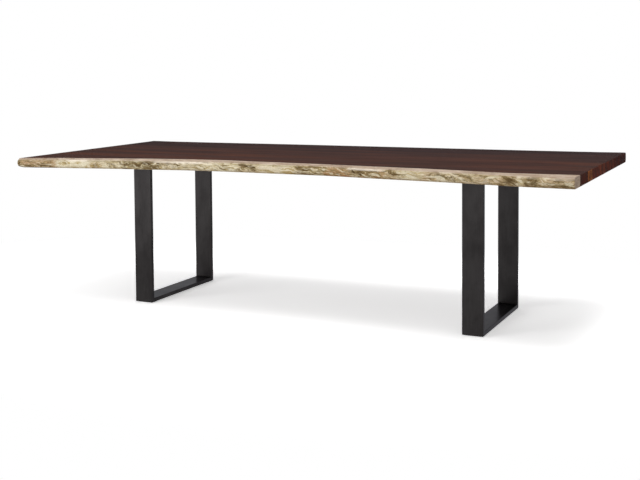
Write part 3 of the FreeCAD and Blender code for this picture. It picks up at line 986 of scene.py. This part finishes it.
class TABLE_OT_finish_fixings(bpy.types.Operator):
    """Blacken the bolts, plate the inserts and finish the rubber strips under the frames"""

    bl_idname = "table.finish_fixings"
    bl_label = "Finish Fixings"

    def execute(self, context):
        for part, (name, tint, metallic, roughness, scale) in FIXINGS.items():
            light = getattr(context.scene.table_steel, tint)
            dark = [SPECKLE_SHADE * share for share in light]
            values = {"Light": light, "Dark": dark, "Roughness": roughness, "Stretch": (scale, scale, scale)}
            finish = finish_from(name, "Fixing Speckle", values, 0.15, Metallic=metallic)
            for side in SIDES:
                dress(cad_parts[side + "_" + part], finish)
        return {"FINISHED"}


# ---- Stage ----

WHITE = (1, 1, 1)
SENSOR_WIDTH = 36  # of the camera, in millimetres
FLOOR_SIZE = 30  # half the width of the floor
FLOOR_DEPTH = 1.35  # how strongly the floor shows a shadow
FLOOR_GLOW = 0.42  # how bright the floor looks where no light falls
FLOOR_SHORTENING = (0.6, 1, 1)  # the shadow's border is an ellipse along the table
FLOOR_BORDER = (1.1, 1.9)  # between these distances from its middle the floor turns plain white

# Lamps: where each hangs, what it faces, its width, its depth and the setting of its power.
LAMPS = {
    "Overhead": ((0.7, -0.15, 5.0), (0.3, 0, 0.7), 3.8, 2.6, "key_watts"),
    "Front Left": ((-3.3, -4.8, 1.55), (-0.3, 0, 0.6), 2.4, 1.4, "front_watts"),
    "Low Left": ((-3.9, -4.9, 0.35), (-0.9, -0.3, 0.5), 1.2, 0.4, "low_watts"),
    "Low Right": ((-0.5, -4.9, 0.35), (0.9, -0.3, 0.5), 1.2, 0.4, "right_watts"),
}


def seen_directly(sheet):
    """1 for a ray from the camera, a mirror or a lens, and 0 for light that bounces between dull surfaces."""
    path = sheet.add("LightPath").outputs
    polished = sheet.math("MAXIMUM", path["Is Glossy Ray"], path["Is Transmission Ray"])
    return sheet.math("MAXIMUM", path["Is Camera Ray"], polished)


def floor_finish(settings):
    """Pale floor that shows white where nothing shades it, and a soft shadow right under the table."""
    material = bpy.data.materials.new("Studio Floor")
    sheet = sheet_of(material)
    plain = sheet.made("BsdfDiffuse", {"Color": settings.floor})
    white = sheet.made("Emission", {"Color": WHITE, "Strength": 1.0})
    lit = sheet.made("BsdfDiffuse", {"Color": (FLOOR_DEPTH, FLOOR_DEPTH, FLOOR_DEPTH)})
    glow = sheet.made("Emission", {"Color": WHITE, "Strength": FLOOR_GLOW})
    shaded = sheet.made("AddShader", {0: lit, 1: glow})
    place = sheet.vector("MULTIPLY", sheet.coords()["Object"], FLOOR_SHORTENING)
    away = sheet.add("VectorMath", {0: place}, operation="LENGTH").outputs["Value"]
    shown = sheet.made("MixShader", {0: sheet.ease(away, *FLOOR_BORDER), 1: shaded, 2: white})
    bounced = sheet.made("MixShader", {0: seen_directly(sheet), 1: plain, 2: white})
    camera_ray = sheet.add("LightPath").outputs["Is Camera Ray"]
    blend = sheet.made("MixShader", {0: camera_ray, 1: bounced, 2: shown})
    sheet.add("OutputMaterial", {"Surface": blend})
    return material


def light_world(settings):
    """Even light from all round, behind which the background shows white."""
    world = bpy.data.worlds.new("Studio")
    sheet = sheet_of(world)
    strength = sheet.times(seen_directly(sheet), 1 - settings.ambient, settings.ambient)
    background = sheet.made("Background", {"Color": WHITE, "Strength": strength})
    sheet.add("OutputWorld", {"Surface": background})
    bpy.context.scene.world = world


def hang_lamp(name, place, target, width, depth, watts):
    """Soft rectangular lamp that faces its target."""
    data = bpy.data.lights.new(name, "AREA")
    data.shape = "RECTANGLE"
    data.size = width
    data.size_y = depth
    data.energy = watts
    lamp = new_object(name, data)
    lamp.location = place
    lamp.rotation_euler = (Vector(target) - Vector(place)).to_track_quat("-Z", "Y").to_euler()


def add_camera(settings):
    """Camera that is turned to the left, then tilted down and leant over."""
    data = bpy.data.cameras.new("Studio Camera")
    data.sensor_width = SENSOR_WIDTH
    data.lens = settings.camera_lens
    data.shift_y = settings.camera_shift
    camera = new_object("Studio Camera", data)
    turned = Matrix.Rotation(settings.camera_yaw, 4, "Z")
    tilted = Matrix.Rotation(math.pi / 2 - settings.camera_pitch, 4, "X")
    leant = Matrix.Rotation(settings.camera_roll, 4, "Z")
    camera.matrix_world = Matrix.Translation(settings.camera_place) @ turned @ tilted @ leant
    bpy.context.scene.camera = camera


class TABLE_OT_set_stage(bpy.types.Operator):
    """Lay the pale floor, hang the lamps and place the camera"""

    bl_idname = "table.set_stage"
    bl_label = "Set Stage"

    def execute(self, context):
        stage = context.scene.table_stage
        bm = bmesh.new()
        bmesh.ops.create_grid(bm, x_segments=1, y_segments=1, size=FLOOR_SIZE)
        floor = new_object("studio_floor", finished_mesh(bm, "studio_floor"))
        dress(floor, floor_finish(stage))
        light_world(stage)
        for name, (place, target, width, depth, power) in LAMPS.items():
            hang_lamp(name, place, target, width, depth, getattr(stage, power))
        add_camera(stage)
        context.scene.view_settings.view_transform = "Standard"
        return {"FINISHED"}


# ---- Add-on ----

STEPS = (
    TABLE_OT_sculpt_live_edges,
    TABLE_OT_finish_heartwood,
    TABLE_OT_finish_leg_frames,
    TABLE_OT_lay_weld_beads,
    TABLE_OT_finish_fixings,
    TABLE_OT_set_stage,
)
SETTINGS = {
    "table_edge": EdgeSettings,
    "table_wood": WoodSettings,
    "table_steel": SteelSettings,
    "table_stage": StageSettings,
}


class TABLE_PT_sidebar(bpy.types.Panel):
    """Each step of the table, and the sizes and colours that it takes"""

    bl_idname = "TABLE_PT_sidebar"
    bl_label = "Live Edge Dining Table"
    bl_space_type = "VIEW_3D"
    bl_region_type = "UI"
    bl_category = "Table"

    def draw(self, context):
        for step in STEPS:
            self.layout.operator(step.bl_idname)
        for name, group in SETTINGS.items():
            box = self.layout.box()
            for setting in group.__annotations__:
                box.prop(getattr(context.scene, name), setting)


def register():
    for kind in (*SETTINGS.values(), *STEPS, TABLE_PT_sidebar):
        bpy.utils.register_class(kind)
    for name, group in SETTINGS.items():
        setattr(bpy.types.Scene, name, PointerProperty(type=group))


def unregister():
    for name in SETTINGS:
        delattr(bpy.types.Scene, name)
    for kind in (TABLE_PT_sidebar, *STEPS, *SETTINGS.values()):
        bpy.utils.unregister_class(kind)


def main():
    register()
    bpy.ops.table.sculpt_live_edges()
    bpy.ops.table.finish_heartwood()
    bpy.ops.table.finish_leg_frames()
    bpy.ops.table.lay_weld_beads()
    bpy.ops.table.finish_fixings()
    bpy.ops.table.set_stage()


if __name__ == "__main__":
    main()
